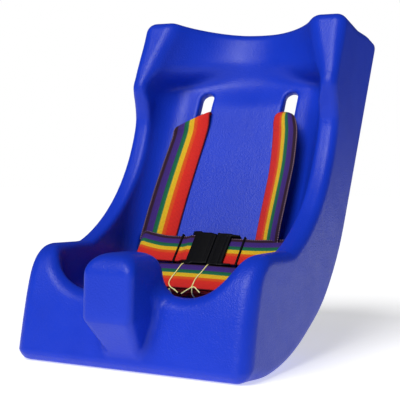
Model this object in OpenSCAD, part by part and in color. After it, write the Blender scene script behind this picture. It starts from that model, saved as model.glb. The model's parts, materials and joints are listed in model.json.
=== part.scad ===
// Moulded foam positioning seat for a small child, with a webbing harness.
// Origin: middle of the seat's outline, on the floor. +X to the right as seen
// from the front, +Y towards the backrest, +Z up. Millimetres.

/* [Shell] */
// Overall width of the moulded shell
shell_w = 277; // [265:1:290]
// Height of the armrest tops
arm_h = 125; // [116:0.5:130]
// Radius of the rocker curve under the seat
rocker_r = 270; // [255:1:280]
// Lean of the rear face from the vertical
rear_lean = 25.6; // [24:0.1:27]
// Height of the wing tops above the floor, at the front
wing_h = 404; // [396:1:410]

/* [Hollow] */
// Half width of the hollow between the side walls
bay_half_w = 115; // [108:1:118]
// Corner radius where the back meets a side wall
bay_corner_r = 34; // [24:1:40]
// Lean of the backrest from the vertical
back_lean = 24.2; // [22:0.1:26]
// Height of the seat floor
floor_h = 60.5; // [54:0.5:66]
// Thickness of the back panel between the harness slots
panel_t = 13; // [12:0.5:16]
// Depth by which the headrest stands in front of the backrest
head_step = 12; // [6:1:16]

/* [Pommel] */
// Width of the pommel between the legs
pommel_w = 58; // [50:1:64]
// Height of the pommel's top
pommel_h = 125.5; // [116:0.5:130]
// How far the pommel stands out in front of the front wall
pommel_reach = 35; // [28:1:42]

/* [Harness] */
// Width of the shoulder webbing
shoulder_w = 48; // [45:1:50]
// Width of the waist webbing
waist_w = 38; // [35:1:40]
// Thickness of all webbing
web_t = 1.8; // [1.4:0.1:2]
// Distance between the two shoulder slots
slot_pitch = 117.5; // [110:0.5:124]
// Width of a shoulder slot
slot_w = 18.3; // [14:0.1:20]
// Length of a shoulder slot
slot_len = 85; // [70:1:90]
// Tilt of the waist belt's face from the vertical
belt_tilt = 40; // [36:1:44]
// Length of the folded mounting strap
bundle_len = 112; // [96:1:124]

/* [Buckle] */
// Width of the buckle across the webbing
buckle_w = 47; // [46:0.5:50]
// Thickness of the buckle
buckle_t = 12; // [11:0.5:14]
// Wall of the buckle housing above and below its mouth
buckle_wall = 2; // [1.6:0.1:2.4]

/* [Hidden] */
$fn = 48;

half_w = shell_w / 2;
far = 400;

// Outline of the shell in the (Y, Z) plane
front_y = -178;
sole_y0 = -168;
sole_y1 = -137.7;
wing_front = [90, wing_h];
wing_foot = [55.5, 321.5];
wing_back_z = 374.5;
wing_back_r = 9;
scoop_c = [-133.4, arm_h + 189.5];
scoop_r = 202;
arm_front_r = 38;
arm_front_y = -119.5;
front_lean = 15;

// Backrest: a point on its surface, from which the leaned frame is laid out
back_origin = [0, 120, 316.5];
seat_arc_r = 60;
front_wall_y = -142;
pocket_half_w = 104.5;
pocket_low = -265;
pocket_high = 36;
pocket_depth = 150;
head_a = 117;
head_b = 76;

// Insert board moulded into the back panel
board_w = 88;
board_len = 196;
board_t = 6;
board_low = -214;
pin_d = 6;
pin_pitch = 110;

// Shoulder webbing, in the leaned frame
strap_low = -214;
strap_high = -34;
strap_mid_z = -57;
strap_x = 68;
strap_splay = 2;
strap_cup = 12;
strap_lift = 5.6;
rear_gap = 4.4;
rear_end_x = 7;

// Waist webbing
belt_c = [0, 6, 117.5];
waist_slot_x = 100.5;
waist_slot_w = 6;
waist_rear_z = -228;
waist_rear_end = 44;

// Sliders at the back: a ladder with its bar under the webbing
slider_len = 26;
rail_w = 4;
bar_t = 3.2;
play = 0.4;

// Buckle, along the belt
bar_x0 = -22;
bar_len = 3.5;
mouth_x = 10;
cave_x = -11;
tongue_end = 38;
root_x = 7.9;
root_y = 16.2;
root_r = 2.2;
keeper_l_x = -36;
keeper_r_x = 46;
keeper_len = 2.4;

// Folded mounting strap and its ties
bundle_c = [0, -32.5, 88.5];
bundle_tilt = 45;
bundle_t = 17;
tie_d = 1.6;
tie_x = [-22, 12];

function arc(c, r, a0, a1, n) =
    [for (i = [0 : n]) c + r * [cos(a0 + (a1 - a0) * i / n), sin(a0 + (a1 - a0) * i / n)]];

// Turns a (Y, Z) outline into a bar of the given half width along X
module across(half) {
    rotate([90, 0, 90])
        translate([0, 0, -half])
            linear_extrude(2 * half) children();
}

// Turns an (X, Z) outline into a bar from y0 to y1
module along(y0, y1) {
    translate([0, y1, 0])
        rotate([90, 0, 0])
            linear_extrude(y1 - y0) children();
}

// Leaned frame of the backrest: X across, Y into the back, Z up the back
module leaned() {
    translate(back_origin)
        rotate([-back_lean, 0, 0]) children();
}

// Frame of the waist belt: X along it, Y up its width, Z out of its face
module on_belt() {
    translate(belt_c)
        rotate([90 - belt_tilt, 0, 0]) children();
}

// Frame of the folded strap: X along it, Y up its width, Z out of its face
module on_bundle() {
    translate(bundle_c)
        rotate([90 - bundle_tilt, 0, 0]) children();
}

module rounded(w, h, r) {
    for (s = [-1, 1])
        translate([s * (w / 2 - r), 0]) {
            translate([0, h / 2 - r]) circle(r);
            translate([0, r - h / 2]) circle(r);
        }
    square([w, h - 2 * r], center = true);
    square([w - 2 * r, h], center = true);
}

module stadium(w, h) {
    for (s = [-1, 1])
        translate([0, s * (h - w) / 2]) circle(w / 2);
    square([w, h - w], center = true);
}

// Mirrors its children in a plane through the origin where s is -1
module sided(s, normal = [1, 0, 0]) {
    mirror(s < 0 ? normal : [0, 0, 0]) children();
}

module box(x0, x1, y0, y1, z0, z1) {
    translate([x0, y0, z0]) cube([x1 - x0, y1 - y0, z1 - z0]);
}

module shell_outline() {
    rear_a = -rear_lean;
    arc_c = [sole_y1, rocker_r];
    // The rear face is the tangent to the rocker curve that leans by rear_lean
    wing_back_y = sole_y1
        + (rocker_r - wing_back_r + (wing_back_z - rocker_r) * sin(rear_lean)) / cos(rear_lean);
    polygon(concat(
        [[front_y, 8.5], [sole_y0, 0]],
        arc(arc_c, rocker_r, -90, rear_a, 24),
        arc([wing_back_y, wing_back_z], wing_back_r, rear_a, 78, 5),
        arc(wing_front + [8, -10], 10, 80, 155, 5),
        [wing_foot, wing_foot + [5, -25]],
        arc(scoop_c, scoop_r, -9, -69.7, 14),
        arc([arm_front_y, arm_h - arm_front_r], arm_front_r, 90, 180 - front_lean, 7),
        [[-169, arm_h - 58.5]]
    ));
}

// Hollow for the trunk, open to the front
module trunk_hollow() {
    r = bay_corner_r;
    floor_z = -242;
    leaned()
        translate([0, 0, floor_z])
            linear_extrude(4 - floor_z)
                polygon(concat(
                    [[bay_half_w, -far]],
                    arc([bay_half_w - r, -r], r, 0, 90, 8),
                    arc([r - bay_half_w, -r], r, 90, 180, 8),
                    [[-bay_half_w, -far]]
                ));
}

// Hollow for the head: a rounder, shallower trough above the trunk's
module head_hollow() {
    leaned()
        linear_extrude(far)
            polygon(concat(
                [[head_a, -far]],
                [for (i = [0 : 24]) let (a = 180 * i / 24)
                    [head_a * cos(a), -head_step - head_b + head_b * sin(a)]],
                [[-head_a, -far]]
            ));
}

// Hollow for the seat: floor, front wall and the curve up into the backrest
module seat_hollow() {
    r = seat_arc_r;
    tangent = back_origin + [0, -241.9 * sin(back_lean), -241.9 * cos(back_lean)];
    arc_c = [tangent[1] - r * cos(back_lean), floor_h + r];
    rise = (tangent[1] - front_wall_y) * tan(back_lean);
    intersection() {
        across(bay_half_w - 2)
            polygon(concat(
                [[front_wall_y, tangent[2] + rise]],
                arc([front_wall_y + 14, floor_h + 14], 14, 180, 270, 6),
                arc(arc_c, r, -90, -back_lean, 10)
            ));
        along(-far, far)
            translate([0, floor_h + far / 2])
                rounded(2 * bay_half_w - 4, far, 24);
    }
}

// Dips for the thighs, one each side of the pommel
module thigh_dips() {
    for (s = [-1, 1])
        sided(s)
            along(front_y - 10, front_wall_y + 20)
                polygon(concat(
                    [[pommel_w / 2, arm_h + 20], [pommel_w / 2, arm_h - 20.5]],
                    arc([54, arm_h - 22.5], 24, 190, 270, 6),
                    arc([78, arm_h - 12.5], 34, -85, -35, 6),
                    [[bay_half_w + 4, arm_h], [bay_half_w + 4, arm_h + 20]]
                ));
}

// Pocket behind the back panel, open to the rear
module rear_pocket() {
    high = pocket_high;
    low = pocket_low;
    leaned()
        translate([0, panel_t + pocket_depth, (high + low) / 2])
            rotate([90, 0, 0])
                linear_extrude(pocket_depth)
                    rounded(2 * pocket_half_w, high - low, 16);
}

module shoulder_slots() {
    for (s = [-1, 1])
        leaned()
            translate([s * slot_pitch / 2, panel_t + 10, -slot_len / 2])
                rotate([90, 0, 0])
                    linear_extrude(60) stadium(slot_w, slot_len);
}

module waist_slots() {
    for (s = [-1, 1])
        leaned()
            translate([s * waist_slot_x, panel_t + 10, waist_rear_z])
                rotate([90, 0, 0])
                    linear_extrude(60) stadium(waist_slot_w, waist_w + 6);
}

module pommel() {
    y0 = front_y - pommel_reach + 1;
    intersection() {
        across(pommel_w / 2)
            polygon(concat(
                [[-150, 17], [-178, 17], [y0, 54], [y0, 98]],
                arc([y0 + 24, pommel_h - 24], 24, 165, 90, 6),
                [[front_wall_y + 4, pommel_h], [front_wall_y + 4, 64]]
            ));
        along(-far, 0)
            polygon(concat(
                [[-20, 15], [20, 15], [pommel_w / 2, 56]],
                arc([pommel_w / 2 - 18, pommel_h - 18], 18, 0, 90, 6),
                arc([18 - pommel_w / 2, pommel_h - 18], 18, 90, 180, 6),
                [[-pommel_w / 2, 56]]
            ));
    }
}

module board() {
    leaned()
        translate([0, (panel_t + board_t) / 2, board_low + board_len / 2])
            rotate([90, 0, 0])
                linear_extrude(board_t) rounded(board_w, board_len, 12);
}

// Holes left by the pins that hold the board in the mould
module pin_holes() {
    for (s = [-1, 1])
        leaned()
            translate([0, panel_t + 1, board_low + board_len / 2 + s * pin_pitch / 2])
                rotate([90, 0, 0])
                    cylinder(d = pin_d, h = panel_t / 2);
}

module seat_shell() {
    color("royalblue")
        difference() {
            union() {
                difference() {
                    across(half_w) shell_outline();
                    trunk_hollow();
                    head_hollow();
                    seat_hollow();
                    thigh_dips();
                }
                pommel();
            }
            rear_pocket();
            shoulder_slots();
            waist_slots();
            board();
            pin_holes();
        }
}

module back_insert_board() {
    color("burlywood") board();
}

// Shoulder strap: down the back, through its slot and along the panel's rear
module shoulder_strap(s) {
    t = web_t;
    slot_x = slot_pitch / 2;
    rear_y = panel_t + rear_gap;
    color("darkorange")
        leaned()
            sided(s) {
                difference() {
                    translate([strap_x, -strap_lift, strap_mid_z])
                        rotate([0, -strap_splay, -strap_cup])
                            box(-shoulder_w / 2, shoulder_w / 2, -t, 0,
                                strap_low - strap_mid_z, strap_high - strap_mid_z + 4);
                    box(-far, slot_x - t / 2, -far, far, strap_mid_z, far);
                }
                box(slot_x - t / 2, slot_x + t / 2, -strap_lift - t, rear_y + t,
                    strap_mid_z - shoulder_w / 2, strap_mid_z + shoulder_w / 2);
                box(rear_end_x, slot_x, rear_y, rear_y + t,
                    strap_mid_z - shoulder_w / 2, strap_mid_z + shoulder_w / 2);
            }
}

// Ladder slider lying flat behind webbing of width w, long side along X.
// Its bar runs under the webbing and its two end rails over it.
module slider(w) {
    over = bar_t + web_t + 2 * play;
    side = w / 2 + play;
    for (s = [-1, 1]) {
        sided(s, [0, 0, 1])
            box(-slider_len / 2, slider_len / 2, 0, over + bar_t, side, side + rail_w);
        box(s > 0 ? slider_len / 2 - rail_w : -slider_len / 2,
            s > 0 ? slider_len / 2 : rail_w - slider_len / 2,
            over, over + bar_t, -side - rail_w, side + rail_w);
    }
    box(-rail_w / 2, rail_w / 2, 0, bar_t, -side - rail_w, side + rail_w);
}

module placed_slider(s, x, z, w) {
    color("dimgray")
        leaned()
            translate([s * x, panel_t + rear_gap - bar_t - play, z]) slider(w);
}

// Waist belt half: along the front, through its slot and along the panel's rear
module waist_belt(s, inner_x) {
    t = web_t;
    rear_y = panel_t + rear_gap;
    leaned_depth = 24;
    outer_x = waist_slot_x + t / 2;
    low = waist_rear_z - waist_w / 2;
    on_belt()
        sided(s)
            box(inner_x, outer_x - t / 3, -waist_w / 2, waist_w / 2, -t / 2, t / 2);
    leaned()
        sided(s) {
            box(outer_x - t, outer_x, -leaned_depth, rear_y + t, low, low + waist_w);
            box(waist_rear_end, outer_x, rear_y, rear_y + t, low, low + waist_w);
        }
}

module waist_belt_left() {
    t = web_t;
    ring_x0 = bar_x0 - play - t;
    ring_x1 = bar_x0 + bar_len + play + t;
    half_bar = 1.6 + play;
    color("firebrick") {
        waist_belt(-1, -ring_x0 - 0.2);
        on_belt() {
            difference() {
                box(ring_x0, ring_x1, -waist_w / 2, waist_w / 2, -half_bar - t, half_bar + t);
                box(ring_x0 + t, ring_x1 - t, -waist_w, waist_w, -half_bar, half_bar);
            }
            box(-62, ring_x0 + 0.2, -waist_w / 2, waist_w / 2, -1.5 * t, -t / 2);
        }
    }
}

module waist_belt_right() {
    color("firebrick") waist_belt(1, 17);
}

// Female half: a flat box with a mouth, two side windows and a webbing bar
module buckle_housing() {
    half = buckle_w / 2;
    thick = buckle_t / 2;
    bar_end = bar_x0 + bar_len;
    color("black")
        on_belt()
            difference() {
                translate([(bar_x0 + mouth_x) / 2, 0, -thick])
                    linear_extrude(buckle_t) rounded(mouth_x - bar_x0, buckle_w, 4);
                box(cave_x, mouth_x + 1, -half + 3, half - 3, buckle_wall - thick, thick - buckle_wall);
                box(-7, 3, -half - 1, half + 1, buckle_wall - thick, thick - buckle_wall);
                box(bar_end, cave_x - 2.5, -waist_w / 2 - 0.5, waist_w / 2 + 0.5, -thick - 1, thick + 1);
                for (s = [-1, 1])
                    sided(s, [0, 0, 1])
                        box(bar_x0 - 1, bar_end + 1, -waist_w / 2 - 0.5, waist_w / 2 + 0.5, 1.6, thick + 1);
            }
}

// Male half: shoulder, guide blade and the ladder that the belt runs through
module buckle_tongue() {
    half = buckle_w / 2;
    thick = buckle_t / 2 - 1;
    side = waist_w / 2 + play;
    web = web_t / 2 + play;
    color("black")
        on_belt() {
            box(mouth_x + 0.4, mouth_x + 4.4, -half, half, -thick, thick);
            box(cave_x + 2, mouth_x + 1, -4, 4, -2.6, 2.6);
            for (s = [-1, 1])
                sided(s, [0, 1, 0])
                    box(mouth_x + 4, tongue_end, side, half, -thick, thick);
            box(mouth_x + 12, mouth_x + 16, -half, half, -thick, -web);
            box(tongue_end - 4, tongue_end, -half, half, web, thick);
        }
}

// Springy side prong with a barb that fills the housing's side window.
// It turns about its round root.
module latch_arm(s) {
    color("black")
        on_belt()
            sided(s, [0, 1, 0])
                translate([0, 0, -2.6])
                    linear_extrude(5.2) {
                        polygon([[root_x, root_y - 1.8], [root_x, root_y + 1.8], [2.8, 18.6],
                            [2.2, 21.8], [-3, 22.6], [-8.4, 19.4], [-8.4, 15.6], [1, 14.6]]);
                        translate([root_x, root_y]) circle(root_r);
                    }
}

module belt_keeper(x, web) {
    half = waist_w / 2 + play;
    low = -web_t / 2 - play - web;
    high = web_t / 2 + play;
    color("black")
        on_belt()
            difference() {
                box(x - keeper_len / 2, x + keeper_len / 2, -half - 1.6, half + 1.6, low - 1.4, high + 1.4);
                box(x - keeper_len, x + keeper_len, -half, half, low, high);
            }
}

// Spare strap, folded into a flat pack
module mounting_strap() {
    color("orangered")
        on_bundle()
            box(-bundle_len / 2, bundle_len / 2, -waist_w / 2, waist_w / 2, -bundle_t, 0);
}

// Wire tie wrapped round the folded strap
module twist_tie(x) {
    d = tie_d;
    gap = 0.1;
    half = waist_w / 2 + gap;
    color("khaki")
        on_bundle()
            difference() {
                box(x - d / 2, x + d / 2, -half - d, half + d, -bundle_t - gap - d, gap + d);
                box(x - d, x + d, -half, half, -bundle_t - gap, gap);
            }
}

seat_shell();
back_insert_board();
shoulder_strap(-1);  // shoulder_strap_left
shoulder_strap(1);  // shoulder_strap_right
placed_slider(-1, 33, strap_mid_z, shoulder_w);  // shoulder_slider_left
placed_slider(1, 33, strap_mid_z, shoulder_w);  // shoulder_slider_right
waist_belt_left();
waist_belt_right();
placed_slider(-1, 76, waist_rear_z, waist_w);  // waist_slider_left
placed_slider(1, 76, waist_rear_z, waist_w);  // waist_slider_right
buckle_housing();
buckle_tongue();
latch_arm(1);  // latch_arm_upper
latch_arm(-1);  // latch_arm_lower
belt_keeper(keeper_l_x, web_t);  // belt_keeper_left
belt_keeper(keeper_r_x, 0);  // belt_keeper_right
mounting_strap();
twist_tie(tie_x[0]);  // twist_tie_left
twist_tie(tie_x[1]);  // twist_tie_right
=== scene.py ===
"""Looks of a moulded foam positioning seat with a webbing harness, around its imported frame.

Lengths are in millimetres until a mesh is made; meshes and Blender objects are in metres.
Three local frames are used: the seat's own (x, y, z), the backrest's leaned frame (x across,
y into the back, z up the back), and a strap frame (x along, y up the width, z out of the face).
"""

import json
import math

import bpy
import numpy as np
from mathutils import Euler, Matrix, Vector


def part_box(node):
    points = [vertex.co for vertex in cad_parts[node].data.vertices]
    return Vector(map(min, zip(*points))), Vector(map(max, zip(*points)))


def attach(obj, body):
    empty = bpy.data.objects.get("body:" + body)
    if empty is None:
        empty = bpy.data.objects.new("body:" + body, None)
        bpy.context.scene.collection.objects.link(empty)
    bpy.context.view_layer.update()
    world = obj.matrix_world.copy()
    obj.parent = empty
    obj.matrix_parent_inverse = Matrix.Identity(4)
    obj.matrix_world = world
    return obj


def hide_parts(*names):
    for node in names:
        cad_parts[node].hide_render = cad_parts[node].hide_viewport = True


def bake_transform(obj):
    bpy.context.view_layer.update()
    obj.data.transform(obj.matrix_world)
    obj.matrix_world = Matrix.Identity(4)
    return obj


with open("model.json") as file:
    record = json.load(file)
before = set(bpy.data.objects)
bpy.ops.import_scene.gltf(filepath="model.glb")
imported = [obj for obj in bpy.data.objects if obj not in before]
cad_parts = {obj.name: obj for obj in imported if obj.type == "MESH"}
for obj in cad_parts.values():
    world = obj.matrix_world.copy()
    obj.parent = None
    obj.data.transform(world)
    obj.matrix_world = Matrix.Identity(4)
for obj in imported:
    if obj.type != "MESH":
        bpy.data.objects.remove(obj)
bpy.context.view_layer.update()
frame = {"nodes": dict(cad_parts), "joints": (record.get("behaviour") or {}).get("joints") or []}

MM = 0.001
JOINTS = {joint["name"]: joint for joint in frame["joints"]}


def box_mm(node):
    low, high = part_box(node)
    return np.array(low) / MM, np.array(high) / MM


# ---------------------------------------------------------------- frames and sizes

BACK_LEAN = math.radians(24.2)
BACK_ORIGIN = np.array([0.0, 120.0, 316.5])
ACROSS = np.array([1.0, 0.0, 0.0])
INTO_BACK = np.array([0.0, math.cos(BACK_LEAN), -math.sin(BACK_LEAN)])
UP_BACK = np.array([0.0, math.sin(BACK_LEAN), math.cos(BACK_LEAN)])


def strap_axes(tilt_deg):
    """Along, up the width and out of the face, for webbing whose face leans back by tilt."""
    tilt = math.radians(tilt_deg)
    up = np.array([0.0, math.sin(tilt), math.cos(tilt)])
    out = np.array([0.0, -math.cos(tilt), math.sin(tilt)])
    return ACROSS, up, out


release_axis = Vector(JOINTS["latch_upper_press"]["axis"])
BELT_TILT = math.degrees(math.atan2(release_axis.z, -release_axis.y))
upper, lower = (Vector(JOINTS[f"latch_{side}_press"]["pos_m"]) for side in ("upper", "lower"))
BELT_C = np.array([0.0, (upper.y + lower.y) / 2 / MM, (upper.z + lower.z) / 2 / MM])
BELT = strap_axes(BELT_TILT)
BUNDLE_C = np.mean(box_mm("mounting_strap"), 0) * [0, 1, 1] + [0, -6, 6]
BUNDLE = strap_axes(48)

SHOULDER_W = 48
WAIST_W = 38
WEB_T = 1.7
SHELL_LOW, SHELL_HIGH = box_mm("seat_shell")
HALF_W = SHELL_HIGH[0]
POMMEL_FRONT = SHELL_LOW[1]
ARM_H = 125.0
ROCKER_R = 270.0
SOLE_BACK = -137.7
REAR_LEAN = 25.6
BAY_HALF_W = 115.0
FLOOR_H = 60.5
FRONT_WALL_Y = -142.0
FRONT_WALL_R = 14.0
SEAT_ARC_R = 60.0
DIP_C = (57.3, 130.3)
DIP_R = 51.9
POMMEL_HALF_W = 29.5
POMMEL_TOP = 126.0
POMMEL_TOP_R = 24.0
PANEL_T = 13.0
POCKET_HALF_W = 104.5
POCKET_HALF_H = 150.5
POCKET_MID_Z = -114.5
POCKET_R = 16.0
SLOT_X = 58.75
SLOT_W = 18.3
SLOT_LOW, SLOT_HIGH = -85.0, 0.0
WAIST_SLOT_X = 100.5
WAIST_SLOT_Z = -228.0
WAIST_SLOT_HALF_H = 22.0
WAIST_SLOT_T = 6.0
REAR_WEB_Y = PANEL_T + 5.3
SHOULDER_REAR_Z = -57.0
SHOULDER_REAR_END = 7
WAIST_REAR_END = 44
LADDER_Y = PANEL_T + 0.8
SHELL_STEP = 2.4
HARDWARE_STEP = 0.5

CAMERA_AT = (0.5289, -1.0562, 0.1919)
CAMERA_TURN = (math.radians(89.275), 0, math.radians(26.857))
CAMERA_ROLL = math.radians(1.432)
CAMERA_LENS = 90
KEY_FROM = Vector((-0.06, -0.74, 0.67))
KEY_ENERGY = 2.7
KEY_ANGLE = math.radians(34)
FLOOR_HALF = 30.0
FLOOR_DROP = 0.0005


def leaned_point(x, y, z):
    return BACK_ORIGIN + x * ACROSS + y * INTO_BACK + z * UP_BACK


def belt_point(x, y, z):
    return BELT_C + x * BELT[0] + y * BELT[1] + z * BELT[2]


def bundle_point(x, y, z):
    return BUNDLE_C + x * BUNDLE[0] + y * BUNDLE[1] + z * BUNDLE[2]


# ---------------------------------------------------------------- distance fields


def arc(centre, radius, start, end, steps):
    """Points of an arc in a plane, angles in degrees."""
    angles = np.radians(np.linspace(start, end, steps + 1))
    return [(centre[0] + radius * math.cos(a), centre[1] + radius * math.sin(a)) for a in angles]


def smooth_path(points, per_span):
    """A smooth curve through the points, with per_span steps between each pair."""
    p = np.array(points, float)
    p = np.vstack([2 * p[0] - p[1], p, 2 * p[-1] - p[-2]])
    out = []
    for i in range(1, len(p) - 2):
        a, b, c, d = p[i - 1 : i + 3]
        square = 2 * a - 5 * b + 4 * c - d
        cube = 3 * b - a - 3 * c + d
        for t in np.arange(per_span) / per_span:
            out.append(0.5 * (2 * b + (c - a) * t + square * t**2 + cube * t**3))
    out.append(p[-2])
    return np.array(out)


def outline_field(points):
    """Signed distance to a closed outline in a plane, as a function of two coordinates."""
    ends = list(zip(points, points[1:] + points[:1]))

    def field(p, q):
        p, q = np.broadcast_arrays(p, q)
        nearest = np.full(p.shape, 1e9)
        inside = np.zeros(p.shape, bool)
        for (p0, q0), (p1, q1) in ends:
            dp, dq = p1 - p0, q1 - q0
            t = np.clip(((p - p0) * dp + (q - q0) * dq) / (dp * dp + dq * dq), 0, 1)
            nearest = np.minimum(nearest, (p - p0 - t * dp) ** 2 + (q - q0 - t * dq) ** 2)
            if dq:
                inside ^= ((q0 > q) != (q1 > q)) & (p < dp * (q - q0) / dq + p0)
        return np.where(inside, -1, 1) * np.sqrt(nearest)

    return field


def both(a, b, r):
    """Where two solids overlap, with the edge between them rounded to radius r."""
    return np.minimum(-r, np.maximum(a, b)) + np.hypot(np.maximum(a + r, 0), np.maximum(b + r, 0))


def either(a, b, r):
    """Two solids joined, with a fillet of radius r between them."""
    return -both(-a, -b, r)


def without(a, b, r):
    """Solid a with b cut out of it, and the rim rounded to radius r."""
    return both(a, -b, r)


def block(x, y, z, low, high, r):
    """A box with rounded edges."""
    gaps = [np.maximum(lo - v, v - hi) + r for v, lo, hi in zip((x, y, z), low, high)]
    outside = np.sqrt(sum(np.maximum(g, 0) ** 2 for g in gaps))
    return outside + np.minimum(np.maximum.reduce(np.broadcast_arrays(*gaps)), 0) - r


def blend_in(v, start, end):
    """0 before start, 1 after end, smooth between."""
    t = np.clip((v - start) / (end - start), 0, 1)
    return t * t * (3 - 2 * t)


# ---------------------------------------------------------------- surfaces from fields

CORNERS = [(i, j, k) for i in (0, 1) for j in (0, 1) for k in (0, 1)]
EDGES = [
    (a, b)
    for a in CORNERS
    for b in CORNERS
    if sum(b) - sum(a) == 1 and all(q >= p for p, q in zip(a, b))
]


def shifted(values, corner):
    """The values at one corner of every grid cell."""
    return values[tuple(slice(c, n - 1 + c) for c, n in zip(corner, values.shape))]


def surface_points(field, low, high, step):
    """One point in each grid cell that the surface crosses, and the quads that join them."""
    axes = [np.arange(lo - 1.5 * step, hi + 2.5 * step, step) for lo, hi in zip(low, high)]
    values = field(axes[0][:, None, None], axes[1][None, :, None], axes[2][None, None, :])
    values = np.ascontiguousarray(values, np.float32)
    inside = values < 0
    count = sum(shifted(inside, c).astype(np.int8) for c in CORNERS)
    cells = np.argwhere((count > 0) & (count < 8))
    index = np.full(count.shape, -1, np.int64)
    index[tuple(cells.T)] = np.arange(len(cells))
    total = np.zeros((len(cells), 3))
    crossings = np.zeros(len(cells))
    for a, b in EDGES:
        va, vb = values[tuple((cells + a).T)], values[tuple((cells + b).T)]
        crossed = (va < 0) != (vb < 0)
        t = np.where(crossed, va / np.where(crossed, va - vb, 1), 0)
        total += crossed[:, None] * (np.array(a) + t[:, None] * (np.array(b) - a))
        crossings += crossed
    points = (cells + total / crossings[:, None]) * step + [axis[0] for axis in axes]
    quads = []
    for axis in range(3):
        u, v = [(1, 2), (2, 0), (0, 1)][axis]
        ahead = [slice(None)] * 3
        ahead[axis] = slice(1, None)
        behind = [slice(None)] * 3
        behind[axis] = slice(None, -1)
        first, second = inside[tuple(behind)], inside[tuple(ahead)]
        for flip, mask in ((False, first & ~second), (True, ~first & second)):
            at = np.argwhere(mask)
            at = at[(at[:, u] > 0) & (at[:, v] > 0)]
            ring = []
            for du, dv in ((1, 1), (0, 1), (0, 0), (1, 0)):
                cell = at.copy()
                cell[:, u] -= du
                cell[:, v] -= dv
                ring.append(index[tuple(cell.T)])
            quads.append(np.stack(ring[::-1] if flip else ring, 1))
    return points, np.concatenate(quads)


def settle(field, points, step):
    """Moves points onto the surface along the field's slope."""
    for _ in range(3):
        value = field(*points.T)
        slope = np.stack(
            [(field(*(points + d).T) - field(*(points - d).T)) / 0.1 for d in 0.05 * np.eye(3)], 1
        )
        length2 = np.maximum((slope**2).sum(1), 0.25)
        move = slope * (value / length2)[:, None]
        limit = np.maximum(np.linalg.norm(move, axis=1) / (0.6 * step), 1)
        points = points - move / limit[:, None]
    return points


def add_object(name, points_mm, faces, uv=None):
    """A smooth-shaded object from points in millimetres, with a Webbing layer if uv is given."""
    mesh = bpy.data.meshes.new(name)
    mesh.from_pydata((np.asarray(points_mm) * MM).tolist(), [], [list(map(int, f)) for f in faces])
    if uv is not None:
        layer = mesh.uv_layers.new(name="Webbing")
        loops = np.zeros(len(mesh.loops), np.int64)
        mesh.loops.foreach_get("vertex_index", loops)
        layer.data.foreach_set("uv", np.asarray(uv, np.float32)[loops].ravel())
    mesh.polygons.foreach_set("use_smooth", [True] * len(mesh.polygons))
    mesh.update()
    piece = bpy.data.objects.new(name, mesh)
    bpy.context.scene.collection.objects.link(piece)
    return piece


def solid(name, field, low, high, step, place=None):
    """A mesh of the surface of a field, moved by place from its local frame to the seat's."""
    points, quads = surface_points(field, low, high, step)
    points = settle(field, points, step)
    if place:
        points = np.array([place(*p) for p in points])
    return add_object(name, points, quads)


def fit_piece(piece, body, node):
    """Puts a piece on its body, in place of its CAD node."""
    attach(piece, body)
    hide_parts(node)


def finish_piece(piece, body, material, node):
    piece.data.materials.append(material)
    fit_piece(piece, body, node)


# ---------------------------------------------------------------- materials


class Shader:
    """A node-based material under construction."""

    def __init__(self, name, colour, roughness, **sockets):
        self.material = bpy.data.materials.new(name)
        self.material.use_nodes = True
        self.tree = self.material.node_tree
        self.principled = self.tree.nodes["Principled BSDF"]
        self.principled.inputs["Base Color"].default_value = (*colour, 1)
        self.principled.inputs["Roughness"].default_value = roughness
        for socket, value in sockets.items():
            self.principled.inputs[socket.replace("_", " ")].default_value = value

    def node(self, kind, **settings):
        made = self.tree.nodes.new(kind)
        for key, value in settings.items():
            if key in made.inputs:
                made.inputs[key].default_value = value
            else:
                setattr(made, key, value)
        return made

    def link(self, source, target):
        self.tree.links.new(source, target)

    def maths(self, operation, a, b=0.0, c=None):
        made = self.node("ShaderNodeMath", operation=operation)
        for socket, value in zip(made.inputs, (a, b, c)):
            if isinstance(value, bpy.types.NodeSocket):
                self.link(value, socket)
            elif value is not None:
                socket.default_value = value
        return made.outputs[0]

    def noise(self, scale, detail=2.0, rough=0.5, vector=None):
        made = self.node("ShaderNodeTexNoise", Scale=scale, Detail=detail, Roughness=rough)
        self.link(vector or self.place(), made.inputs["Vector"])
        return made.outputs["Fac"]

    def place(self):
        """Object coordinates, in metres."""
        if not hasattr(self, "_place"):
            self._place = self.node("ShaderNodeTexCoord").outputs["Object"]
        return self._place

    def ramp(self, value, stops, interpolation="LINEAR"):
        made = self.node("ShaderNodeValToRGB")
        made.color_ramp.interpolation = interpolation
        elements = made.color_ramp.elements
        elements[0].position, elements[1].position = stops[0][0], stops[-1][0]
        for position, _ in stops[1:-1]:
            elements.new(position)
        for element, (_, colour) in zip(elements, stops):
            element.color = (*colour, 1)
        self.link(value, made.inputs["Fac"])
        return made.outputs["Color"]

    def remap(self, value, low, high, to_low, to_high):
        made = self.node("ShaderNodeMapRange")
        self.link(value, made.inputs["Value"])
        for key, number in zip(("From Min", "From Max", "To Min", "To Max"), (low, high, to_low, to_high)):
            made.inputs[key].default_value = number
        return made.outputs["Result"]

    def bump(self, height, strength, distance, normal=None):
        made = self.node("ShaderNodeBump", Strength=strength, Distance=distance)
        self.link(height, made.inputs["Height"])
        if normal:
            self.link(normal, made.inputs["Normal"])
        return made.outputs["Normal"]

    def set(self, socket, output):
        self.link(output, self.principled.inputs[socket])


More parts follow.
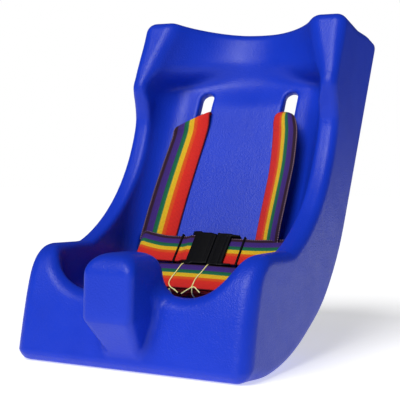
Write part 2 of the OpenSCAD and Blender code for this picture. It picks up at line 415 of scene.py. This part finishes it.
def foam_skin():
    """Royal-blue skin of self-skinned foam: a fine pebbled grain, with soft drawn streaks."""
    shader = Shader("foam_skin", (0.006, 0.036, 0.50), 0.36, Specular_IOR_Level=0.25)
    mottle = shader.noise(14.0, 3.0)
    shader.set(
        "Base Color",
        shader.ramp(mottle, [(0.3, (0.005, 0.033, 0.48)), (0.7, (0.007, 0.039, 0.53))]),
    )
    grain = shader.node("ShaderNodeTexVoronoi", Scale=680.0, feature="SMOOTH_F1")
    wobble = shader.node("ShaderNodeVectorMath", operation="MULTIPLY_ADD")
    jitter = shader.node("ShaderNodeTexNoise", Scale=260.0, Detail=2.0)
    shader.link(shader.place(), jitter.inputs["Vector"])
    shader.link(jitter.outputs["Color"], wobble.inputs[0])
    wobble.inputs[1].default_value = (0.004, 0.004, 0.004)
    shader.link(shader.place(), wobble.inputs[2])
    shader.link(wobble.outputs[0], grain.inputs["Vector"])
    creases = shader.noise(420.0, 3.0, 0.6)
    stretch = shader.node("ShaderNodeMapping")
    stretch.inputs["Scale"].default_value = (70.0, 12.0, 9.0)
    shader.link(shader.place(), stretch.inputs["Vector"])
    streaks = shader.noise(1.0, 2.0, 0.5, stretch.outputs[0])
    shader.set("Roughness", shader.remap(shader.noise(60.0, 3.0), 0.3, 0.7, 0.34, 0.40))
    normal = shader.bump(streaks, 0.15, 0.0010)
    normal = shader.bump(creases, 0.40, 0.0007, normal)
    normal = shader.bump(grain.outputs["Distance"], 0.40, 0.0005, normal)
    shader.set("Normal", normal)
    return shader.material


# Sockets of a colour Mix node, whose names are shared by its number and vector sockets
MIX_A, MIX_B, MIX_RESULT = 6, 7, 2

YARN_PITCH = 1.7
STITCH_PITCH = 2.6

# Colour bands across the webbing, from its dark edge (0) to its red edge (1)
STRIPES = [
    (0.000, (0.030, 0.010, 0.024)),
    (0.120, (0.034, 0.010, 0.028)),
    (0.140, (0.055, 0.022, 0.200)),
    (0.305, (0.065, 0.026, 0.240)),
    (0.325, (0.010, 0.130, 0.060)),
    (0.435, (0.012, 0.200, 0.085)),
    (0.455, (0.900, 0.560, 0.020)),
    (0.575, (0.920, 0.560, 0.020)),
    (0.595, (0.860, 0.120, 0.012)),
    (0.670, (0.860, 0.085, 0.012)),
    (0.700, (0.860, 0.032, 0.018)),
    (0.960, (0.760, 0.022, 0.020)),
    (0.985, (0.160, 0.006, 0.012)),
]


def webbing(name, width):
    """Woven polyester webbing: lengthwise colour bands, ribs across them and warp yarns along, with painted
    shade darkening the weave's hollows.
    """
    shader = Shader(name, (0.8, 0.1, 0.05), 0.75, Sheen_Weight=0.04, Specular_IOR_Level=0.15)
    split = shader.node("ShaderNodeSeparateXYZ")
    shader.link(shader.node("ShaderNodeUVMap", uv_map="Webbing").outputs["UV"], split.inputs[0])
    across, along = split.outputs["X"], split.outputs["Y"]
    fray = shader.maths("MULTIPLY", shader.maths("SUBTRACT", shader.noise(900.0, 2.0), 0.5), 0.02)
    colour = shader.ramp(shader.maths("ADD", across, fray), STRIPES)
    yarns = width / YARN_PITCH
    rib_pitch = YARN_PITCH * MM
    yarn = shader.maths("FRACT", shader.maths("MULTIPLY", across, yarns))
    tilt = shader.maths("MULTIPLY", shader.maths("ABSOLUTE", shader.maths("SUBTRACT", yarn, 0.5)), 0.9)
    rib = shader.maths("FRACT", shader.maths("ADD", shader.maths("DIVIDE", along, rib_pitch), tilt))
    rib_height = shader.maths("SINE", shader.maths("MULTIPLY", rib, math.pi))
    yarn_height = shader.maths("SINE", shader.maths("MULTIPLY", yarn, math.pi))
    rib_part = shader.maths("MULTIPLY", rib_height, 0.6)
    height = shader.maths("ADD", rib_part, shader.maths("MULTIPLY", yarn_height, 0.5))
    # Painted shade: the base colour is multiplied down to 0.48 in the low places between ribs and yarns, by
    # the weave's height.
    shade = shader.node("ShaderNodeMix", data_type="RGBA", blend_type="MULTIPLY")
    shade.inputs["Factor"].default_value = 1.0
    weave_hollow_shade_levels = [(0.0, (0.48, 0.48, 0.48)), (1.0, (1.0, 1.0, 1.0))]
    weave_hollow_shade = shader.ramp(shader.remap(height, 0.2, 1.0, 0, 1), weave_hollow_shade_levels)
    picot = shader.node("ShaderNodeMix", data_type="RGBA")
    edge = shader.maths("COMPARE", across, 0.022, 0.010)
    stitches = shader.maths("FRACT", shader.maths("DIVIDE", along, STITCH_PITCH * MM))
    stitch = shader.maths("GREATER_THAN", stitches, 0.5)
    shader.link(shader.maths("MULTIPLY", edge, stitch), picot.inputs[0])
    shader.link(colour, picot.inputs[MIX_A])
    picot.inputs[MIX_B].default_value = (0.36, 0.24, 0.36, 1)
    shader.link(picot.outputs[MIX_RESULT], shade.inputs[MIX_A])
    shader.link(weave_hollow_shade, shade.inputs[MIX_B])
    shader.set("Base Color", shade.outputs[MIX_RESULT])
    normal = shader.bump(shader.noise(500.0, 3.0), 0.15, 0.0002)
    shader.set("Normal", shader.bump(height, 0.8, 0.0006, normal))
    return shader.material


def black_plastic():
    """Moulded acetal with a slightly uneven gloss."""
    shader = Shader("black_plastic", (0.0025, 0.0025, 0.0035), 0.45, Specular_IOR_Level=0.10)
    shader.set("Roughness", shader.remap(shader.noise(420.0, 3.0), 0.3, 0.7, 0.36, 0.50))
    normal = shader.bump(shader.noise(1500.0, 2.0), 0.12, 0.0002)
    shader.set("Normal", normal)
    return shader.material


def tie_coating():
    """Pale yellow plastic over a thin wire."""
    shader = Shader("tie_coating", (0.80, 0.76, 0.36), 0.38)
    tint = shader.noise(300.0, 2.0)
    shader.set("Base Color", shader.ramp(tint, [(0.3, (0.84, 0.76, 0.22)), (0.7, (0.96, 0.92, 0.44))]))
    shader.set("Normal", shader.bump(shader.noise(1200.0, 2.0), 0.2, 0.0002))
    return shader.material


def plywood():
    """Grain of the insert board, drawn out up the back."""
    shader = Shader("plywood", (0.60, 0.42, 0.24), 0.6)
    stretch = shader.node("ShaderNodeMapping")
    stretch.inputs["Scale"].default_value = (30.0, 220.0, 8.0)
    shader.link(shader.place(), stretch.inputs["Vector"])
    grain = shader.noise(1.0, 4.0, 0.6, stretch.outputs[0])
    shader.set("Base Color", shader.ramp(grain, [(0.3, (0.42, 0.27, 0.14)), (0.7, (0.68, 0.50, 0.30))]))
    return shader.material


def pale_floor():
    """White floor that glows a little, so that it meets the white surroundings with no edge."""
    shader = Shader("pale_floor", (0.93, 0.93, 0.93), 0.6, Emission_Strength=0.55)
    shader.principled.inputs["Emission Color"].default_value = (1, 1, 1, 1)
    shader.set("Roughness", shader.remap(shader.noise(2.0), 0.3, 0.7, 0.55, 0.65))
    return shader.material


# ---------------------------------------------------------------- the moulded shell


def shell_outline():
    """Side view of the whole shell, from the front of the sole round by the back."""
    lean = math.radians(REAR_LEAN)
    top_r, top_z = 8.0, 377.5
    top_y = SOLE_BACK + (ROCKER_R - top_r + (top_z - ROCKER_R) * math.sin(lean)) / math.cos(lean)
    wing_foot = [(60.2, 333.0), (56.4, 324.5), (55.4, 317.0), (57.2, 308.0), (60.4, 298.0),
                 (63.0, 288.0), (64.3, 278.0)]
    front = [(-119.5, ARM_H), (-132.5, 122.6), (-145.5, 115.0), (-155.5, 102.5), (-161.6, 88.0),
             (-166.4, 71.0), (-170.0, 55.0), (-174.0, 34.0), (-177.6, 13.0), (-177.6, 8.5), (-172.0, 1.6)]
    return (
        [(-167.0, 0.0)]
        + arc((SOLE_BACK, ROCKER_R), ROCKER_R, -90, -REAR_LEAN, 40)
        + arc((top_y, top_z), top_r, -REAR_LEAN, 78, 8)
        + arc((98.0, 390.0), 16.0, 82, 152, 8)
        + [tuple(p) for p in smooth_path(wing_foot, 3)]
        + arc((-133.4, ARM_H + 189.5), 202.0, -13, -66, 24)
        + [(-62.0, 125.7), (-74.0, ARM_H)]
        + [tuple(p) for p in smooth_path(front, 3)]
    )


def hollow_outline():
    """Seat floor, front wall and backrest, open above."""
    tangent = leaned_point(0, 0, -241.9)
    curve_c = (tangent[1] - SEAT_ARC_R * math.cos(BACK_LEAN), FLOOR_H + SEAT_ARC_R)
    top = leaned_point(0, 0, 250)
    return (
        [(FRONT_WALL_Y, 600.0)]
        + arc((FRONT_WALL_Y + FRONT_WALL_R, FLOOR_H + FRONT_WALL_R), FRONT_WALL_R, 180, 270, 8)
        + arc(curve_c, SEAT_ARC_R, -90, -math.degrees(BACK_LEAN), 16)
        + [(top[1], top[2]), (top[1], 600.0)]
    )


def dip_outline():
    """Thigh dips on both sides, and the gap between them that the pommel fills."""
    return (
        [(-9.0, 200.0), (-9.0, 80.0), (30.0, 80.5)]
        + arc(DIP_C, DIP_R, -100, -14, 16)
        + [(114.0, 139.5), (114.0, 200.0)]
    )


def pommel_side():
    """Side view of the pommel, which overhangs the shell's front."""
    y0 = POMMEL_FRONT - 2.0
    back = FRONT_WALL_Y - 6
    return (
        [(-150.0, 16.5), (-178.0, 16.5), (y0 + 4, 51.0), (y0 + 0.8, 55.0), (y0, 60.0), (y0, 98.0)]
        + arc((y0 + 25, 101.0), 25.0, 178, 90, 10)
        + arc((back - 16, 110.0), 16.0, 90, 8, 8)
        + [(back + 4, 96.0), (back + 4, 64.0)]
    )


def pommel_front():
    """Front view of the pommel, narrower towards the sole."""
    half, top_r = POMMEL_HALF_W, POMMEL_TOP_R
    top = POMMEL_TOP - top_r
    return (
        [(-20.0, 14.5), (20.0, 14.5), (half - 1, 52.0), (half, 58.0)]
        + arc((half - top_r, top), top_r, 0, 90, 8)
        + arc((top_r - half, top), top_r, 90, 180, 8)
        + [(-half, 58.0), (1 - half, 52.0)]
    )


OUTER = outline_field(shell_outline())
HOLLOW = outline_field(hollow_outline())
DIP = outline_field(dip_outline())
POMMEL_SIDE = outline_field(pommel_side())
POMMEL_FRONT_VIEW = outline_field(pommel_front())


def stadium(x, z, cx, low, high, width):
    """An upright slot with round ends."""
    r = width / 2
    return np.hypot(x - cx, z - np.clip(z, low + r, high - r)) - r


def head_field(x, back_y, back_z):
    """Trough for the head: it narrows, and comes forward of the backrest, towards the top."""
    half = BAY_HALF_W + 1 - 19 * blend_in(back_z, -20, 75)
    step = 1.0 + (4.0 + 7.0 * blend_in(x, 15, 90)) * blend_in(back_z, -5, 80)
    depth = 76.0
    down = np.maximum(back_y + step + depth, 0)
    k1 = np.hypot(x / half, down / depth)
    k2 = np.maximum(np.hypot(x / half**2, down / depth**2), 1e-6)
    return k1 * (k1 - 1) / k2


def shell_field(x, y, z):
    """The moulded shell: outline, hollows, pommel, rear pocket and slots."""
    x = np.abs(x)
    back_y = (y - BACK_ORIGIN[1]) * INTO_BACK[1] + (z - BACK_ORIGIN[2]) * INTO_BACK[2]
    back_z = (y - BACK_ORIGIN[1]) * UP_BACK[1] + (z - BACK_ORIGIN[2]) * UP_BACK[2]
    half_w = HALF_W + 1.2 - 1.5 * np.clip(z / 400, 0, 1)
    front_r = 10.0 + 7.0 * (1 - blend_in(y, -165, -120)) + 4.0 * blend_in(z, 335, 385)
    shape = both(OUTER(y, z), x - half_w, front_r + (5.0 - front_r) * blend_in(back_y, -10, 30))

    corner = 24 + 10 * blend_in(z, 80, 170)
    trunk = both(HOLLOW(y, z), x - BAY_HALF_W + 1.5 * (1 - blend_in(z, 60, 130)), corner)
    ledge = 331.0 + 5.0 * (1 - blend_in(x, 10, 80)) + 0.16 * (y - 126.0)
    trunk = both(trunk, z - ledge, 14.0)
    head = both(head_field(x, back_y, back_z), 316.0 - z, 12.0)
    hollow = either(trunk, head, 26.0)

    dip = both(DIP(x, z), y - FRONT_WALL_Y - FRONT_WALL_R, 1.0)
    hollow = either(hollow, dip, 10.0)
    rim = 12.0 - 6.0 * blend_in(y, -150, -90) + 6.0 * blend_in(z, 300, 345)
    shape = without(shape, hollow, rim)

    pommel = both(POMMEL_SIDE(y, z), POMMEL_FRONT_VIEW(x, z), 8.0)
    shape = either(shape, pommel, 7.0 + 13.0 * blend_in(z, 66, 84))

    past_x = np.maximum(x - (POCKET_HALF_W - POCKET_R), 0)
    past_z = np.maximum(np.abs(back_z - POCKET_MID_Z) - (POCKET_HALF_H - POCKET_R), 0)
    pocket = both(np.hypot(past_x, past_z) - POCKET_R, PANEL_T - back_y, 7.0)
    shape = without(shape, pocket, 5.0)

    shape = without(shape, stadium(x, back_z, SLOT_X, SLOT_LOW, SLOT_HIGH, SLOT_W), 3.0)
    low, high = WAIST_SLOT_Z - WAIST_SLOT_HALF_H, WAIST_SLOT_Z + WAIST_SLOT_HALF_H
    return without(shape, stadium(x, back_z, WAIST_SLOT_X, low, high, WAIST_SLOT_T), 2.0)


def make_shell():
    shell = solid("foam_shell", shell_field, SHELL_LOW - 1, SHELL_HIGH + 8, SHELL_STEP)
    finish_piece(shell, "seat", foam_skin(), "seat_shell")


# ---------------------------------------------------------------- webbing


def end_caps(rings, around):
    """The two faces that close a run of rings."""
    return [tuple(range(around))[::-1], tuple((rings - 1) * around + j for j in range(around))]


def ring_faces(rings, around):
    """Quads between each ring of points and the next, with both ends closed."""
    faces = []
    for i in range(rings - 1):
        for j in range(around):
            k = (j + 1) % around
            faces.append((i * around + j, i * around + k, (i + 1) * around + k, (i + 1) * around + j))
    return faces + end_caps(rings, around)


def band(name, edges, material, cup=0.0, per_span=8, first_u=0.0):
    """Webbing between its dark and red edge curves; cup bows its middle out of its face."""
    samples = 16
    dark, red = (smooth_path(edge, per_span) for edge in edges)
    middle = (dark + red) / 2
    along = np.gradient(middle, axis=0)
    face = np.cross(red - dark, along)
    face /= np.linalg.norm(face, axis=1)[:, None]
    u = 0.5 - 0.5 * np.cos(np.linspace(0, math.pi, samples + 1))
    swell = WEB_T / 2 * (1 - np.abs(2 * u - 1) ** 8) ** 0.5
    bow = cup * (1 - (2 * u - 1) ** 2)
    ring_u = np.concatenate([u, u[-2:0:-1]])
    ring_h = np.concatenate([bow + swell, (bow - swell)[-2:0:-1]])
    points = (
        dark[:, None, :]
        + (red - dark)[:, None, :] * ring_u[None, :, None]
        + face[:, None, :] * ring_h[None, :, None]
    )
    v = np.concatenate([[0], np.cumsum(np.linalg.norm(np.diff(middle, axis=0), axis=1))]) * MM
    ring_u = first_u + (1 - first_u) * ring_u
    uv = np.stack(np.broadcast_arrays(ring_u[None, :], v[:, None]), -1).reshape(-1, 2)
    piece = add_object(name, points.reshape(-1, 3), ring_faces(*points.shape[:2]), uv)
    piece.data.materials.append(material)
    return piece


def join(name, pieces):
    """Several meshes as one object."""
    with bpy.context.temp_override(
        active_object=pieces[0], selected_editable_objects=pieces, selected_objects=pieces
    ):
        bpy.ops.object.join()
    pieces[0].name = name
    return pieces[0]


def edge_pair(place, width, route):
    """Both edges of webbing whose middle follows route: (along, out) points of a local frame."""
    return [[place(x, s * width / 2, z) for x, z in route] for s in (1, -1)]


def rear_run(name, side, slot_x, mid_z, width, end_x, material):
    """Webbing through a slot and along the back of the panel, towards the middle."""
    route = [(slot_x, -3.0), (slot_x, 6.0), (slot_x, 13.0)]
    route += [(slot_x - 1.5, 16.8), (slot_x - 6, REAR_WEB_Y)]
    route += [(slot_x + (end_x - slot_x) * t, REAR_WEB_Y) for t in (0.35, 0.7, 1.0)]
    edges = edge_pair(lambda x, up, y: leaned_point(side * x, y, mid_z + up), width, route)
    return band(name, edges, material)


def shoulder_strap(side, outer, inner, cup, material):
    """Front run between two edges in the backrest's frame, and the run behind the panel."""
    edges = [[leaned_point(*p) for p in edge] for edge in (outer, inner)]
    front = band("front", edges, material, cup=cup)
    if side > 0:
        front.data.flip_normals()
    rear = rear_run("rear", side, SLOT_X, SHOULDER_REAR_Z, SHOULDER_W, SHOULDER_REAR_END, material)
    return join(f"shoulder_webbing_{'right' if side > 0 else 'left'}", [front, rear])


def make_left_shoulder(material):
    inner = [(-55.0, -1.6, -214), (-53.6, -1.6, -180), (-51.3, -1.6, -140), (-48.2, -1.8, -100),
             (-45.6, -2.2, -70), (-44.2, -3.6, -52), (-44.6, -6.0, -40), (-45.2, -6.4, -33),
             (-45.6, -3.0, -31.0), (-46, 1.5, -32)]
    outer = [(-102.0, -8.0, -214), (-101.0, -8.0, -180), (-98.9, -7.5, -140), (-95.9, -6.5, -104),
             (-93.4, -6.0, -80), (-92.0, -6.4, -68), (-91.0, -8.6, -61), (-89.6, -8.6, -57.0),
             (-87, -4.0, -55), (-85, -0.5, -56)]
    return shoulder_strap(-1, outer, inner, 0.8, material)


def make_right_shoulder(material):
    inner = [(52.0, -1.6, -222), (51.2, -1.6, -198), (51.0, -1.6, -172), (51.2, -1.6, -150),
             (51.2, -1.8, -115), (49.0, -2.0, -85), (46.6, -3.0, -62), (45.6, -6.0, -49), (47.2, -8.4, -40),
             (50.6, -5.5, -35), (53.0, 1.0, -34), (54.5, 9.0, -35)]
    outer = [(85.0, -9.0, -222), (89.5, -22.0, -200), (92.0, -26.5, -172), (92.4, -26.5, -150),
             (92.6, -26.0, -115), (91.0, -26.5, -88), (88.8, -26.5, -70),
             (85.5, -25.0, -60), (79.0, -20.0, -48),
             (71.0, -11.0, -40), (66.0, 0.0, -37), (64.0, 9.0, -37)]
    return shoulder_strap(1, outer, inner, -1.5, material)


def belt_edges(side, stations):
    """Upper (dark) and lower (red) edges of the waist belt's front run, into its slot."""
    edges = []
    for s in (1, -1):
        edge = []
        for x in stations:
            bow = 7.0 * blend_in(x, 60, 106)
            rise = 4.0 * blend_in(x, 50, 100) if side < 0 else 0.0
            point = belt_point(side * x, s * WAIST_W / 2 + rise, 0)
            edge.append(point + np.array([0, bow, 0.25 * bow]))
        for x, y in ((98.5, -9.0), (100.5, -4.0), (100.5, 3.0)):
            edge.append(leaned_point(side * x, y, WAIST_SLOT_Z + 3 + s * WAIST_W / 2))
        edges.append(edge)
    return edges


def waist_rear(name, side, material):
    return rear_run(name, side, WAIST_SLOT_X, WAIST_SLOT_Z, WAIST_W, WAIST_REAR_END, material)


def make_left_belt(material):
    """The fixed half: it goes round the housing's bar, and its tail lies behind it."""
    front = band("front", belt_edges(-1, (25, 40, 60, 80, 92)), material)
    rear = waist_rear("rear", -1, material)
    tail = [(-24, 3.3), (-17.6, 3.2), (-16.6, 1.0), (-16.6, -1.0), (-17.6, -3.2), (-24, -3.3),
            (-27, -2.4), (-34, -1.9), (-50, -1.9), (-61, -1.9)]
    lead = [(-30, 0.4), (-27, 1.6), (-24, 3.0)]
    loop = band("tail", edge_pair(belt_point, WAIST_W, tail), material)
    top = band("lead", edge_pair(belt_point, WAIST_W, lead), material)
    return join("waist_webbing_left", [front, rear, loop, top])


def make_right_belt(material):
    """The half on the tongue's side: its front and rear runs stay apart."""
    front = band("waist_webbing_right", belt_edges(1, (17, 30, 45, 62, 80, 92)), material)
    return front, waist_rear("waist_webbing_right_rear", 1, material)


def make_bundle(material):
    """A strap folded back and forth into a flat pack."""
    rng = np.random.default_rng(7)
    layers, pitch = 9, 1.9
    half = 53.0
    route = []
    for k in range(layers):
        sign = 1 if k % 2 == 0 else -1
        depth = -k * pitch
        reach = half - rng.uniform(0, 4)
        slip = rng.uniform(-0.9, 0.9) if k else 0.0
        for t in (-1, -0.5, 0, 0.5, 1):
            crown = 0.8 * (1 - t * t) * (1 - k / layers)
            route.append((sign * t * reach, slip, depth + crown))
        if k < layers - 1:
            route.append((sign * (reach + pitch * 0.6), slip / 2, depth - pitch / 2))
    edges = [[bundle_point(x, s * WAIST_W / 2 + y, z) for x, y, z in route] for s in (1, -1)]
    return band("folded_strap", edges, material, per_span=5, first_u=0.09)


def tube(name, points, radius, material):
    """A round wire along a smooth path."""
    sides = 10
    path = smooth_path(points, 8)
    along = np.gradient(path, axis=0)
    along /= np.linalg.norm(along, axis=1)[:, None]
    up = np.array([0.3, 0.5, 0.8])
    rings = []
    for p, d in zip(path, along):
        side = np.cross(d, up)
        side /= np.linalg.norm(side)
        up = np.cross(side, d)
        angles = np.linspace(0, 2 * math.pi, sides, endpoint=False)
        rings.append(p + radius * (np.cos(angles)[:, None] * side + np.sin(angles)[:, None] * up))
    piece = add_object(name, np.concatenate(rings), ring_faces(len(path), sides))
    piece.data.materials.append(material)
    return piece


TIE_RADIUS = 0.75

# Each tie's wire, given point by point, in the folded strap's frame: one end, round the strap, the other
# end
TIES = {
    "twist_tie_left": [
        (-7.4, -23.0, -3), (-12, -20.5, -1), (-17.5, -18.5, 1.0), (-21.5, -13.0, 1.8), (-21.6, -6, 2.0),
        (-19.8, 2, 2.2), (-18.4, 10.5, 2.0), (-17, 18.0, 1.6), (-16.6, 20.4, -2), (-16.8, 20.4, -12),
        (-17.4, 16, -17.2), (-18, 0, -17.4), (-18.6, -16, -17.2), (-18.6, -20.2, -12), (-18.4, -20.6, -5),
        (-18.6, -20.8, 0),
    ],
    "twist_tie_right": [
        (-2.5, -24.0, -3), (4.4, -20.8, 0.2), (9.2, -17.4, 1.6), (9.6, -12.0, 2.0), (9.8, -5, 2.2),
        (11.6, 2, 2.2), (13.6, 9, 2.0), (15.6, 18.0, 1.6), (15.6, 20.4, -2), (15, 20.4, -12),
        (14, 16, -17.2), (12, 0, -17.4), (10.4, -16, -17.2), (9.8, -20.2, -12), (9.6, -20.6, -4),
        (10.6, -18.0, 1.4), (13.5, -17.2, 1.6), (20.5, -21.6, -2),
    ],
}


def make_ties(material):
    for name, path in TIES.items():
        tie = tube(f"wire_{name}", [bundle_point(*p) for p in path], TIE_RADIUS, material)
        fit_piece(tie, "seat", name)


# ---------------------------------------------------------------- buckle, keepers and sliders


def housing_field(x, y, z):
    """Female half: bowed faces, a mouth, side windows, end lugs and the webbing bar."""
    y = np.abs(y)
    thick = 6.0 - 1.1 * ((x + 6) / 16) ** 2
    side = 23.0 + 1.6 * blend_in(-x, 9, 12) - 1.0 * blend_in(x, 2, 8)
    shape = block(x, y, z, (-22, -30, -6), (10, 30, 6), 1.6)
    shape = both(both(shape, np.abs(z) - thick, 1.2), y - side, 1.6)
    shape = without(shape, block(x, y, z, (-11, -20.5, -4), (14, 20.5, 4), 1.2), 0.6)
    shape = without(shape, block(x, y, z, (-7, 10, -3.9), (3, 40, 3.9), 1.5), 0.7)
    shape = without(shape, block(x, y, z, (-18.5, -19.5, -9), (-13.5, 19.5, 4.2), 1.2), 0.7)
    shape = without(shape, block(x, y, z, (-30, -19.5, 1.6), (-17.8, 19.5, 9), 0.8), 0.6)
    shape = without(shape, block(x, y, z, (-30, -19.5, -9), (-17, 19.5, -1.6), 0.8), 0.6)
    for groove in (4.0, 6.2):
        shape = without(shape, np.hypot(x - groove, np.abs(z) - thick - 0.2) - 0.6, 0.2)
    return shape


def tongue_field(x, y, z):
    """Male half: shoulder, guide blade, cover plate, and the rails and bar that hold the webbing."""
    y = np.abs(y)
    side = 23.5 - 1.6 * blend_in(x, 20, 41)
    shape = block(x, y, z, (10.4, -23.5, -5.2), (13.4, 23.5, 5.2), 1.0)
    blade = block(x, y, z, (-9, -4, -2.6), (12, 4, 2.6), 0.8)
    rails = both(block(x, y, z, (12, 19.5, -5), (40, 30, 4.2), 1.2), y - side, 1.2)
    bar = block(x, y, z, (22, -22, -5), (26, 22, -1.35), 0.9)
    plate_top = 5.0 - 0.8 * ((x - 20) / 9) ** 2
    plate = both(block(x, y, z, (11, -23, 1.35), (29, 23, 5), 0.9), z - plate_top, 0.8)
    plate = without(plate, np.hypot(x - 24.5, z - plate_top - 0.1) - 0.8, 0.3)
    shape = either(shape, blade, 0.8)
    shape = either(shape, rails, 1.0)
    shape = either(shape, bar, 0.8)
    return either(shape, plate, 0.8)


def latch_field(x, y, z):
    """One side prong with its thumb pad, in the frame of the upper arm."""
    root = np.hypot(x - 7.9, y - 16.2) - 2.2
    profile = outline_field([(7.9, 14.4), (7.9, 18.0), (2.8, 18.6), (2.2, 21.8), (0.4, 22.5), (-3.0, 22.6),
                             (-8.4, 19.4), (-8.4, 15.6), (1.0, 14.6)])(x, y)
    shape = both(either(profile, root, 0.6), np.abs(z) - 2.6, 0.6)
    for groove in (-3.6, -1.9, -0.2):
        shape = without(shape, np.hypot(x - groove, y - 23.0) - 0.7, 0.2)
    return shape


def keeper_field(centre, web):
    """A flat loop round one layer of webbing, or round two where web adds the tail's thickness."""

    def field(x, y, z):
        low, high = -1.3 - web, 1.3
        outer = block(x, y, z, (centre - 1.25, -21, low - 1.4), (centre + 1.25, 21, high + 1.4), 0.8)
        return without(outer, block(x, y, z, (centre - 9, -19.4, low), (centre + 9, 19.4, high), 0.5), 0.5)

    return field


def slider_field(width):
    """Ladder slider: webbing passes over the bar and under the two end rails."""
    side = width / 2 + 0.4

    def field(x, y, z):
        x, z = np.abs(x), np.abs(z)
        rails = block(x, y, z, (-20, 0, side), (13, 9, side + 4), 1.4)
        ends = block(x, y, z, (9, 5.8, -9), (13, 9, side + 2), 1.2)
        bar = block(x, y, z, (-9, 0, -9), (2, 3.2, side + 2), 1.2)
        return either(either(rails, ends, 0.8), bar, 0.8)

    return field


def make_buckle(plastic):
    reach = (-26, -27, -10), (44, 27, 10)
    parts = [
        ("buckle_housing_shell", housing_field, "seat", "buckle_housing"),
        ("buckle_tongue_shell", tongue_field, "tongue", "buckle_tongue"),
        ("latch_prong_upper", latch_field, "latch_upper", "latch_arm_upper"),
        ("latch_prong_lower", lambda x, y, z: latch_field(x, -y, z), "latch_lower", "latch_arm_lower"),
    ]
    for name, field, body, node in parts:
        piece = solid(name, field, *reach, HARDWARE_STEP, belt_point)
        finish_piece(piece, body, plastic, node)


def middle_x(node):
    low, high = box_mm(node)
    return (low[0] + high[0]) / 2


def make_keepers(plastic):
    for side, web in (("left", 1.8), ("right", 0.0)):
        node = f"belt_keeper_{side}"
        x = middle_x(node)
        field = keeper_field(x, web)
        low, high = (x - 3, -22, -6), (x + 3, 22, 4)
        piece = solid(f"keeper_loop_{side}", field, low, high, HARDWARE_STEP, belt_point)
        finish_piece(piece, f"keeper_{side}", plastic, node)


def make_ladder(kind, side, width, mid_z, plastic):
    node = f"{kind}_slider_{side}"
    mid_x = middle_x(node)
    reach_z = width / 2 + 6

    def place(x, y, z):
        return leaned_point(mid_x + x, LADDER_Y + y, mid_z + z)

    low, high = (-14, -1, -reach_z), (14, 10, reach_z)
    piece = solid(f"{kind}_ladder_{side}", slider_field(width), low, high, HARDWARE_STEP, place)
    finish_piece(piece, f"slider_{kind}_{side}", plastic, node)


def make_hardware(plastic):
    make_buckle(plastic)
    make_keepers(plastic)
    for side in ("left", "right"):
        make_ladder("shoulder", side, SHOULDER_W, SHOULDER_REAR_Z, plastic)
    for side in ("left", "right"):
        make_ladder("waist", side, WAIST_W, WAIST_SLOT_Z, plastic)


# ---------------------------------------------------------------- stage


def make_camera():
    """Nearly level view from the seat's front right."""
    camera = bpy.data.cameras.new("camera")
    camera.lens, camera.sensor_width = CAMERA_LENS, 36
    camera.clip_end = 100
    holder = bpy.data.objects.new("camera", camera)
    turn = Euler(CAMERA_TURN).to_matrix() @ Matrix.Rotation(CAMERA_ROLL, 3, "Z")
    holder.matrix_world = Matrix.Translation(CAMERA_AT) @ turn.to_4x4()
    bpy.context.scene.collection.objects.link(holder)
    bpy.context.scene.camera = holder


def make_world():
    """Dim surroundings that the camera sees as plain white."""
    world = bpy.data.worlds.new("studio")
    bpy.context.scene.world = world
    world.use_nodes = True
    tree = world.node_tree
    dim = tree.nodes["Background"]
    dim.inputs["Color"].default_value = (0.95, 0.97, 1.0, 1)
    dim.inputs["Strength"].default_value = 0.06
    white = tree.nodes.new("ShaderNodeBackground")
    white.inputs["Color"].default_value = (1, 1, 1, 1)
    mix = tree.nodes.new("ShaderNodeMixShader")
    rays = tree.nodes.new("ShaderNodeLightPath")
    tree.links.new(rays.outputs["Is Camera Ray"], mix.inputs[0])
    tree.links.new(dim.outputs[0], mix.inputs[1])
    tree.links.new(white.outputs[0], mix.inputs[2])
    tree.links.new(mix.outputs[0], tree.nodes["World Output"].inputs[0])


def make_floor():
    h = FLOOR_HALF
    mesh = bpy.data.meshes.new("floor")
    mesh.from_pydata([(-h, -h, 0), (h, -h, 0), (h, h, 0), (-h, h, 0)], [], [(0, 1, 2, 3)])
    mesh.materials.append(pale_floor())
    floor = bpy.data.objects.new("floor", mesh)
    floor.location.z = -FLOOR_DROP
    bpy.context.scene.collection.objects.link(floor)


def make_key():
    """One broad sun, high in front of the seat and a little to its left."""
    sun = bpy.data.lights.new("key", "SUN")
    sun.energy, sun.angle = KEY_ENERGY, KEY_ANGLE
    holder = bpy.data.objects.new("key", sun)
    holder.rotation_euler = (-KEY_FROM).to_track_quat("-Z", "Y").to_euler()
    bpy.context.scene.collection.objects.link(holder)


def make_stage():
    bpy.context.scene.view_settings.view_transform = "Standard"
    make_world()
    make_floor()
    make_key()


make_camera()
make_stage()
make_shell()

web_wide = webbing("webbing_wide", SHOULDER_W)
web_narrow = webbing("webbing_narrow", WAIST_W)
fit_piece(make_left_shoulder(web_wide), "seat", "shoulder_strap_left")
fit_piece(make_right_shoulder(web_wide), "seat", "shoulder_strap_right")
fit_piece(make_left_belt(web_narrow), "seat", "waist_belt_left")
fit_piece(make_bundle(web_narrow), "seat", "mounting_strap")

right_front, right_rear = make_right_belt(web_narrow)
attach(right_rear, "seat")
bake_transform(right_front)
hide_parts("waist_belt_right")

make_ties(tie_coating())
make_hardware(black_plastic())

board = frame["nodes"]["back_insert_board"]
board.data.materials.clear()
board.data.materials.append(plywood())
